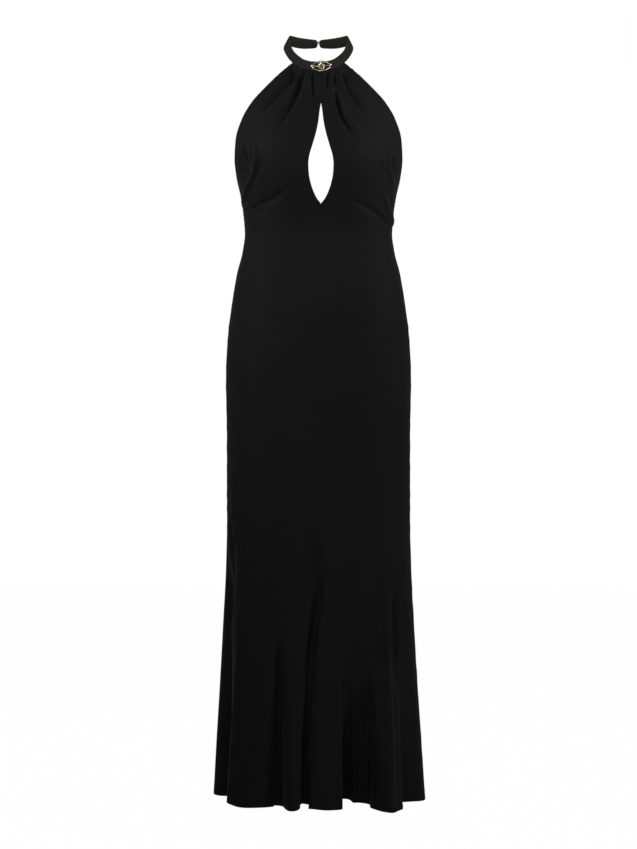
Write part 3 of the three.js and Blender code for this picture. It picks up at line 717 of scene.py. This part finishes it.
def makeBack(side, name, sway):
    # one half of the back, its columns from right to left seen from outside: the section's surface, lifted
    # along its normal by creases and seams; sway moves the creases so that the halves aren't mirror images
    rows = rowHeights(underarmDown, backPiece["stretches"])[:, None]
    even = np.linspace(0, 1, backPiece["columns"] + 1)[None, :]
    t = even - backPiece["crowdAtEnds"] / (2 * math.pi) * np.sin(2 * math.pi * even)
    if side > 0:
        t = t[:, ::-1]
    points = backPoint(side, t, rows)
    normals = -gridNormals(points)
    x, down = points[..., 0], -points[..., 2]
    arc = arcAcross(points)
    fromSide, fromMiddle = fromSides(arc, side)
    lift = creaseLift(np.abs(x) + sway, down + 2 * sway, backCreases)
    lift = lift * smoothStep(fromSide, 0, dressCut["plainEdge"])
    seams = bell(fromSide / dressCut["seamWidth"]) + bell(fromMiddle / backPiece["centreSeamWidth"])
    lift -= dressCut["seamPinch"] * seams
    points = points + normals * lift[..., None]
    height = rows + 0 * arc
    fromTop = height - underarmDown
    outside, inside = edgeThickness(fromTop.ravel(), height.ravel())
    index = np.arange(points[..., 0].size).reshape(points.shape[:2])
    place = np.stack([side * fromMiddle, -down], -1).reshape(-1, 2)
    seam = np.stack([np.minimum(fromSide, fromMiddle), fromTop], -1).reshape(-1, 2)
    maps = {"cut": place, "seam": seam}
    return clothShell(name, points.reshape(-1, 3), gridFaces(index)[:, ::-1], outside, inside, maps)


bandPiece = {
    "half": 0.0015,  # half its thickness in the middle
    "lower": {"side": 0.0628, "front": 0.066, "back": 0.061},
    "upper": {"side": 0.0495, "front": 0.057, "back": 0.059},
    "straighten": {"start": 80, "stop": 120, "by": 0.007},  # start and stop in degrees round the band
    "endGap": 0.003,
    "corner": 0.0065,
    "cornerPower": 2.6,
    "crowdAtEnds": 1.15,
    "flatPower": 0.62,  # the section's superellipse
    "fullPower": 0.80,
    "acrossShare": 0.985,
    "pucker": {"depth": 0.10, "every": 3.1, "wander": 11, "within": 50},  # in degrees round the band
    "uneven": {"depth": 0.05, "every": 17},
    "mapRadius": 0.06,
    "mapHalf": 0.0095,
    "columns": 420,
    "around": 36,
}
# The heights of the band's two edges, from the centre front to the nape.
bandStations = table("degrees lower upper", [
    (0, -49.3, -30.2), (15, -47.3, -29.1), (30, -41.5, -25.2), (45, -32.2, -17.3),
    (60, -20, -8), (75, -7.2, 2.4), (90, 2.3, 14), (105, 9.5, 26.4),
    (120, 12.3, 31), (150, 11.2, 30.2), (168, 12.4, 29.2), (180, 14.2, 28.2),
])
bandLowerAt = smoothCurve(bandStations["degrees"], bandStations["lower"])
bandUpperAt = smoothCurve(bandStations["degrees"], bandStations["upper"])


def bandPoint(degrees, across):
    # straight across from the lower edge (-1) to the upper edge (1); each edge is half an ellipse in front
    # and half another behind
    angle = np.radians(degrees)
    behind = np.cos(angle) < 0

    def edge(axes, wider, height):
        deep = np.where(behind, axes["back"], axes["front"])
        return np.stack([(axes["side"] + wider) * np.sin(angle), -deep * np.cos(angle), height], -1)

    straighten = bandPiece["straighten"]
    wider = straighten["by"] * smoothStep(np.abs(degrees), straighten["start"], straighten["stop"])
    lower = edge(bandPiece["lower"], 0 * wider, bandLowerAt(np.abs(degrees)))
    upper = edge(bandPiece["upper"], wider, bandUpperAt(np.abs(degrees)))
    share = (across + 1)[..., None] / 2
    return lower + (upper - lower) * share


def bandFrame(degrees, across):
    # a point of the band's middle surface with its outward normal
    step = 0.01
    point = bandPoint(degrees, across)
    around = bandPoint(degrees + step, across) - bandPoint(degrees - step, across)
    up = bandPoint(degrees, across + step) - bandPoint(degrees, across - step)
    return point, unit(np.cross(around, up))


def makeBand():
    # a soft folded strip: its section is a flat superellipse whose thickness wanders as a sine, with small
    # puckers along the lower edge in front, and whose ends round off
    lastDegrees = 180 - math.degrees(bandPiece["endGap"] / 2 / bandPiece["lower"]["side"])
    cornerDegrees = math.degrees(bandPiece["corner"] / bandPiece["lower"]["side"])
    even = np.linspace(-1, 1, bandPiece["columns"] + 1)
    squeezed = np.sign(even) * (1 - (1 - np.abs(even)) ** bandPiece["crowdAtEnds"])
    degrees = (squeezed * lastDegrees)[:, None]
    turn = wholeTurn(bandPiece["around"])[None, :]
    toEnd = np.clip((lastDegrees - np.abs(degrees)) / cornerDegrees, 0, 1)
    power = bandPiece["cornerPower"]
    rounding = np.maximum(1 - (1 - toEnd) ** power, 0.01) ** (1 / power)
    flat = signedPower(np.cos(turn), bandPiece["flatPower"])
    full = signedPower(np.sin(turn), bandPiece["fullPower"])
    across = flat * (bandPiece["acrossShare"] * rounding)
    pucker, uneven = bandPiece["pucker"], bandPiece["uneven"]
    puckers = pucker["depth"] * np.sin(degrees / pucker["every"] + 1.2 * np.sin(degrees / pucker["wander"]))
    puckers = puckers * (flat < 0) * (np.abs(degrees) < pucker["within"])
    soft = 1 + uneven["depth"] * np.sin(degrees / uneven["every"]) + puckers * np.abs(flat)
    thick = bandPiece["half"] * full * rounding * soft
    point, normal = bandFrame(degrees + 0 * across, across)
    rings = point + normal * thick[..., None]
    ends = [rings[0].mean(0), rings[-1].mean(0)]
    length = np.radians(degrees) * bandPiece["mapRadius"] + 0 * across
    place = np.stack([length, bandPiece["mapHalf"] * across], -1).reshape(-1, 2)
    place = np.concatenate([place, place[[0, -1]]])
    return tubeMesh("neckBand", rings, ends, {"cut": place, "seam": np.ones_like(place)})


ornament = {
    "length": 0.0358,
    "height": 0.0220,
    "strip": 0.0024,  # the rim's width
    "bar": 0.0020,
    "lozengeX": 0.0054,
    "lozengeY": 0.0074,
    "lozengeFrame": 0.0016,
    "dome": 0.0009,
    "domeBase": 0.0002,
    "bead": 0.0016,
    "atDegrees": 5,
    "below": 0.0014,  # from the band's middle line down to its own
    "lift": 0.0010,
    "thick": 0.0018,
}


def wrapOnBand(points):
    # x runs round the band, y up it and z out of it
    perDegree = math.radians((bandPiece["lower"]["side"] + bandPiece["upper"]["side"]) / 2)
    ends = bandPoint(np.zeros(2), np.array([-1.0, 1.0]))
    bandHalf = np.linalg.norm(ends[1] - ends[0]) / 2
    degrees = ornament["atDegrees"] + points[:, 0] / perDegree
    across = (points[:, 1] - ornament["below"]) / bandHalf
    point, normal = bandFrame(degrees, across)
    return point + normal * (bandPiece["half"] + ornament["lift"] + points[:, 2])[:, None]


def flatStrip(name, path, wide, thick, closed):
    # a strip in the ornament's plane: across the path's direction stands a superellipse, whose cos and sin
    # are raised to a power under 1, which squares it a little
    if closed:
        along = unit(np.roll(path, -1, axis=0) - np.roll(path, 1, axis=0))
    else:
        along = unit(np.gradient(path, axis=0))
    side = np.stack([-along[:, 1], along[:, 0], 0 * along[:, 0]], -1)
    up = np.tile([0.0, 0.0, 1.0], (len(path), 1))
    turn, power = wholeTurn(16), 0.6
    x, y = signedPower(np.cos(turn), power) * wide / 2, signedPower(np.sin(turn), power) * thick / 2
    return sweptMesh(name, path, side, up, np.stack([x, y], -1), closed)


def makeOrnament():
    # a pointed oval rim of two arcs, a bar from tip to tip with a bead at each end, and a domed lozenge (a
    # superellipse) in a raised frame
    size, thick = ornament, ornament["thick"]
    middle = thick / 2
    length, height = size["length"] - size["strip"], size["height"] - size["strip"]
    radius = (length ** 2 + height ** 2) / (4 * height)
    centre = radius - height / 2
    half = math.asin(length / 2 / radius)
    turn = np.linspace(-half, half, 40)[:-1]
    upper = np.stack([radius * np.sin(turn), radius * np.cos(turn) - centre, 0 * turn + middle], -1)
    rim = np.concatenate([upper, upper * [-1, -1, 1]])
    parts = [flatStrip("rim", rim, size["strip"], thick, True)]
    barX = np.linspace(-length / 2, length / 2, 48)
    bar = np.stack([barX, 0 * barX, 0 * barX + middle * 0.9], -1)
    parts.append(flatStrip("bar", bar, size["bar"], thick * 0.85, False))
    frameTurn = wholeTurn(64)
    reach = 1 / (np.abs(np.cos(frameTurn)) ** 1.25 + np.abs(np.sin(frameTurn)) ** 1.25) ** 0.8
    lozenge = np.stack([
        size["lozengeX"] * reach * np.cos(frameTurn),
        size["lozengeY"] * reach * np.sin(frameTurn),
        0 * frameTurn + middle * 1.25,
    ], -1)
    parts.append(flatStrip("frame", lozenge, size["lozengeFrame"], thick * 1.05, True))
    parts.append(makeDome(lozenge, middle))
    for sideX in (-1, 1):
        parts.append(makeBead([sideX * (length / 2 - 0.0002), 0, middle], size["bead"]))
    whole = joined("frontOrnament", parts)
    mesh = whole.data
    flatPoints = np.zeros(len(mesh.vertices) * 3, np.float32)
    mesh.vertices.foreach_get("co", flatPoints)
    wrapped = wrapOnBand(flatPoints.reshape(-1, 3).astype(float))
    mesh.vertices.foreach_set("co", wrapped.astype(np.float32).ravel())
    mesh.update()
    return whole


def makeDome(outline, middle):
    # a low dome inside the lozenge: rings of its outline shrink to a point as a cosine and rise as a sine
    share = np.cos(np.linspace(0, math.pi / 2, 12))[:-1]
    rise = np.sin(np.linspace(0, math.pi / 2, 12))[:-1]
    foot, height, bottom = middle * 0.8, ornament["dome"], [0, 0, ornament["domeBase"]]
    rings = outline[None] * np.stack([share, share, 0 * share], -1)[:, None]
    rings[..., 2] = foot + height * rise[:, None]
    base = outline * [1, 1, 0] + bottom
    rings = np.concatenate([base[None], rings])
    return tubeMesh("dome", rings, [bottom, [0, 0, foot + height]])


def makeBead(centre, radius):
    # a small ball from rings of latitude
    around, layers = 20, 10
    lat = np.linspace(-math.pi / 2, math.pi / 2, layers + 1)[1:-1][:, None]
    lon = wholeTurn(around)[None, :]
    rings = np.stack([np.cos(lat) * np.cos(lon), np.cos(lat) * np.sin(lon), np.sin(lat) + 0 * lon], -1)
    top = np.array([0, 0, radius])
    return tubeMesh("bead", centre + radius * rings, [centre - top, centre + top])


fastener = {
    "wireRadius": 0.00045,
    "sides": 12,
    "steps": 10,  # along the wire between two of its points
    "insideY": 0.05685,  # where the wires lie, just inside the band's ends
    "z": 0.0225,
    "hookReach": 0.0017,
    "curl": 0.0024,  # between the hook's two layers
    "strands": 0.0019,
    "eyeHalf": 0.0029,
    "foot": 0.0095,  # how far out along the band each is sewn down
}


def roundWire(name, points):
    # a smooth curve through the points, with a circle carried along it; its parameter grows by the square
    # root of the distance from point to point
    points = np.array(points, float)
    at = runningSum(np.linalg.norm(np.diff(points, axis=0), axis=1) ** 0.5)
    fine = np.linspace(0, at[-1], fastener["steps"] * (len(points) - 1) + 1)
    slope = np.gradient(points, at, axis=0)
    i = np.clip(np.searchsorted(at, fine, side="right") - 1, 0, len(at) - 2)
    span = (at[i + 1] - at[i])[:, None]
    t = ((fine - at[i])[:, None]) / span
    path = cubic(t, span, points[i], points[i + 1], slope[i], slope[i + 1])
    along = unit(np.gradient(path, axis=0))
    side = unit(np.cross(along, [0.31, -0.42, 0.85]))
    up = np.cross(along, side)
    turn = wholeTurn(fastener["sides"])
    profile = fastener["wireRadius"] * np.stack([np.cos(turn), np.sin(turn)], -1)
    return sweptMesh(name, path, side, up, profile)


def makeHook():
    # two strands that leave one end of the band side by side and turn back under themselves to a round tip
    y, z, reach, curl, foot = (fastener[key] for key in ("insideY", "z", "hookReach", "curl", "foot"))

    def strand(half):
        return [
            (-foot, y - 0.00045, z + half), (-foot * 0.6, y + 0.00005, z + half), (-0.001, y, z + half),
            (reach - 0.0009, y - 0.0001, z + half), (reach, y - curl / 2, z + half),
            (reach - 0.0009, y - curl + 0.0001, z + half), (-0.0016, y - curl, z + half * 0.9),
        ]

    half = fastener["strands"] / 2
    return roundWire("hookWire", strand(half) + [(-0.0026, y - curl, z)] + strand(-half)[::-1])


def makeEye():
    # a loop from the other end of the band, which narrows to a round end inside the hook's bend
    y, z, foot = fastener["insideY"], fastener["z"], fastener["foot"]
    inBend = y - fastener["curl"] / 2

    def leg(half):
        return [
            (foot, y - 0.0008, z + half * 1.2), (foot * 0.6, y - 0.00025, z + half * 1.05),
            (0.003, y - 0.0005, z + half), (0.0012, inBend, z + half * 0.9),
            (0.00035, inBend, z + half * 0.55),
        ]

    half = fastener["eyeHalf"]
    return roundWire("eyeWire", leg(half) + [(0.0002, inBend, z)] + leg(-half)[::-1])


class Value:
    # a shader socket that takes part in sums written as Python
    def __init__(self, finish, socket):
        self.finish, self.socket = finish, socket

    def math(self, operation, first, second):
        return self.finish.node("Math", {"operation": operation}, [first, second])

    def __add__(self, other):
        return self.math("ADD", self, other)

    def __radd__(self, other):
        return self.math("ADD", other, self)

    def __sub__(self, other):
        return self.math("SUBTRACT", self, other)

    def __rsub__(self, other):
        return self.math("SUBTRACT", other, self)

    def __mul__(self, other):
        return self.math("MULTIPLY", self, other)

    def __rmul__(self, other):
        return self.math("MULTIPLY", other, self)


class Finish:
    # one material, or the world: node() adds any node from its type, settings and socket values or links
    def __init__(self, name, kind="materials"):
        self.owner = getattr(bpy.data, kind).new(name)
        self.owner.use_nodes = True
        self.tree = self.owner.node_tree
        self.shader = self.tree.nodes.get("Principled BSDF")

    def node(self, kind, settings=None, sockets=None, output=0):
        made = self.tree.nodes.new("ShaderNode" + kind)
        for key, value in (settings or {}).items():
            setattr(made, key, value)
        named = enumerate(sockets) if isinstance(sockets, list) else (sockets or {}).items()
        for key, value in named:
            self.feed(made.inputs[key], value)
        return Value(self, made.outputs[output])

    def feed(self, socket, value):
        if isinstance(value, Value):
            self.tree.links.new(value.socket, socket)
        else:
            socket.default_value = value

    def set(self, **sockets):
        for key, value in sockets.items():
            self.feed(self.shader.inputs[key.replace("_", " ")], value)

    def uvMap(self, mapName):
        return self.node("UVMap", {"uv_map": mapName})

    def place(self):
        return self.node("TexCoord", output=3)  # Object coordinates

    def cameraRay(self):
        return self.node("LightPath")  # 1 for what the camera itself sees, 0 for reflected light

    def noise(self, vector, scale, detail, roughness=0.5):
        sockets = {"Vector": vector, "Scale": scale, "Detail": detail, "Roughness": roughness}
        return self.node("TexNoise", None, sockets)

    def stretchedNoise(self, vector, scales, detail):
        mapped = self.node("Mapping", None, {"Vector": vector, "Scale": scales})
        return self.noise(mapped, 1.0, detail)

    def range(self, value, low, high, outLow, outHigh):
        sockets = {"Value": value, "From Min": low, "From Max": high, "To Min": outLow, "To Max": outHigh}
        return self.node("MapRange", {"interpolation_type": "SMOOTHSTEP"}, sockets)

    def blend(self, factor, first, second):
        return self.node("Mix", {"data_type": "RGBA"}, {"Factor": factor, "A": first, "B": second}, 2)

    def bump(self, height, strength, distance):
        return self.node("Bump", None, {"Strength": strength, "Distance": distance, "Height": height})


crepe = {
    "dark": (0.0046, 0.0046, 0.0050),
    "light": (0.0066, 0.0066, 0.0070),
    "bandPaintedLight": (2.7, 2.7, 2.35),  # painted light: the band's cloth is a lighter copy of the same crepe, which stands in for the extra light it catches
    "grain": 0.00042,  # metres between the crepe's pebbles
    "warp": 420.0,
    "weft": 380.0,
    "pucker": 210.0,
    "puckerReach": 0.010,  # the cloth is puckered within this of a seam or a turned edge
    "relief": 0.00025,
    "specular": 0.05,
    "sheen": 0.05,
}


def makeCrepe(name, paintedLight=(1.0, 1.0, 1.0)):
    # a matte pebbled weave: fine twisted yarns in both directions, puckers near the seams and a soft
    # uneven tone
    finish = Finish(name)
    cut = finish.uvMap("cut")
    toSeam = finish.node("SeparateXYZ", None, {"Vector": finish.uvMap("seam")})
    tone = finish.noise(finish.place(), 9.0, 4.0)
    pebble = finish.noise(cut, 1 / crepe["grain"], 3.0, 0.65)

    def yarns(direction, scale):
        sockets = {"Vector": cut, "Scale": scale, "Distortion": 2.5, "Detail": 2.0, "Detail Scale": 3.0}
        return finish.node("TexWave", {"wave_type": "BANDS", "bands_direction": direction}, sockets)

    warp, weft = yarns("X", crepe["warp"]), yarns("Y", crepe["weft"])
    nearSeam = 1 - finish.range(toSeam, 0.0, crepe["puckerReach"], 0.0, 1.0)
    pucker = finish.noise(cut, crepe["pucker"], 1.0) * nearSeam
    height = pebble * 0.5 + warp * 0.22 + weft * 0.22 + pucker * 3.0
    # painted light: both colours are scaled up for the band's lighter copy of the crepe
    dark, light = ((*np.array(crepe[key]) * paintedLight, 1.0) for key in ("dark", "light"))
    finish.set(
        Base_Color=finish.blend(tone * 0.6 + pebble * 0.4, dark, light),
        Roughness=finish.range(tone, 0.3, 0.7, 0.58, 0.68),
        Normal=finish.bump(height, 0.35, crepe["relief"]),
        Specular_IOR_Level=crepe["specular"],
        Sheen_Weight=crepe["sheen"],
        Sheen_Roughness=0.45,
        Sheen_Tint=(0.6, 0.6, 0.62, 1),
    )
    return finish.owner


def makeGold():
    # pale polished plating with faint brushing and a little tarnish
    finish = Finish("paleGold")
    cloud = finish.noise(finish.place(), 420.0, 3.0)
    scratch = finish.stretchedNoise(finish.place(), (300.0, 300.0, 2600.0), 3.0)
    finish.set(
        Base_Color=finish.blend(cloud, (0.70, 0.60, 0.40, 1), (0.86, 0.78, 0.58, 1)),
        Metallic=1.0,
        Roughness=finish.range(cloud, 0.35, 0.7, 0.16, 0.30),
        Normal=finish.bump(scratch + cloud * 0.6, 0.12, 0.00008),
    )
    return finish.owner


def makeShadeDarkenedWire():
    # plain nickel-plated wire with drawing lines; its colours are painted shade, far darker than nickel, so
    # the hook and eye stay dark in the band's shade
    finish = Finish("nickelWirePaintedShade")
    line = finish.stretchedNoise(finish.place(), (400.0, 3200.0, 3200.0), 2.0)
    finish.set(
        # painted shade: both colours sit far below nickel's, which darkens the wires as the band's shade
        # would
        Base_Color=finish.blend(line, (0.07, 0.07, 0.08, 1), (0.13, 0.13, 0.14, 1)),
        Metallic=1.0,
        Roughness=finish.range(line, 0.3, 0.7, 0.26, 0.40),
        Normal=finish.bump(line, 0.1, 0.00005),
    )
    return finish.owner


def makeFloorFinish():
    # a faintly uneven pale grey, which shows the camera mostly plain white
    finish = Finish("paleFloor")
    grain = finish.noise(finish.place(), 3.0, 3.0)
    finish.set(
        Base_Color=finish.blend(grain, (0.90, 0.90, 0.90, 1), (0.93, 0.93, 0.93, 1)),
        Roughness=finish.range(grain, 0.3, 0.7, 0.80, 0.90),
        Specular_IOR_Level=0.1,
    )
    white = finish.node("Emission", None, {"Color": (1, 1, 1, 1), "Strength": 1.0})
    share = finish.cameraRay() * studio["floorWhite"]
    mixed = finish.node("MixShader", None, [share, Value(finish, finish.shader.outputs[0]), white])
    finish.feed(finish.tree.nodes["Material Output"].inputs["Surface"], mixed)
    return finish.owner


def addPiece(piece, body, nodeName, material):
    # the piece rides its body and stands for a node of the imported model
    piece.data.materials.clear()
    piece.data.materials.append(material)
    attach(piece, body)
    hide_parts(nodeName)
    return piece


crepeFinish = makeCrepe("blackCrepe")
# the band's crepe is the same cloth made lighter: painted light for the light it catches
bandPaintedLightFinish = makeCrepe("blackCrepeBandPaintedLighter", crepe["bandPaintedLight"])
goldFinish = makeGold()
shadeDarkenedWireFinish = makeShadeDarkenedWire()

front = addPiece(makeFront(), "root", "front", crepeFinish)
print("front:", len(front.data.vertices), "points")
backLeft = addPiece(makeBack(1, "backLeft", 0.0), "root", "back_left", crepeFinish)
backRight = addPiece(makeBack(-1, "backRight", 0.006), "root", "back_right", crepeFinish)
print("back halves:", len(backLeft.data.vertices), "points each")
band = addPiece(makeBand(), "root", "neck_band", bandPaintedLightFinish)
addPiece(makeOrnament(), "root", "ornament", goldFinish)
addPiece(makeHook(), "root", "hook", shadeDarkenedWireFinish)
addPiece(makeEye(), "root", "eye", shadeDarkenedWireFinish)
print("band and metal trim made")


def makeFloor():
    # a flat sheet below the hem
    level = cadLow[2] - studio["floorGap"]
    half = studio["floorHalf"]
    corners = [(-half, -half, level), (half, -half, level), (half, half, level), (-half, half, level)]
    floor = makeMesh("floor", np.array(corners), [np.array([[0, 1, 2, 3]])])
    floor.data.materials.append(makeFloorFinish())


def softbox(name, place, aim, size, power, spread):
    # an area light that faces its aim
    data = bpy.data.lights.new(name, "AREA")
    data.shape, data.size, data.size_y = "RECTANGLE", *size
    data.energy, data.spread = power, math.radians(spread)
    lamp = addToScene(name, data)
    lamp.location = place
    lamp.rotation_euler = (Vector(aim) - Vector(place)).to_track_quat("-Z", "Y").to_euler()


def makeWorld():
    # plain white behind the dress, and a dimmer even light from all round
    world = Finish("studio", "worlds")
    around, backdrop = (
        world.node("Background", None, {"Color": (1, 1, 1, 1), "Strength": strength})
        for strength in (studio["ambient"], 1.0)
    )
    mixed = world.node("MixShader", None, [world.cameraRay(), around, backdrop])
    world.feed(world.tree.nodes["World Output"].inputs["Surface"], mixed)
    bpy.context.scene.world = world.owner


makeFloor()
makeWorld()
for settings in studio["softboxes"]:
    softbox(*settings)
bpy.context.scene.view_settings.view_transform = "Standard"
print("studio set")
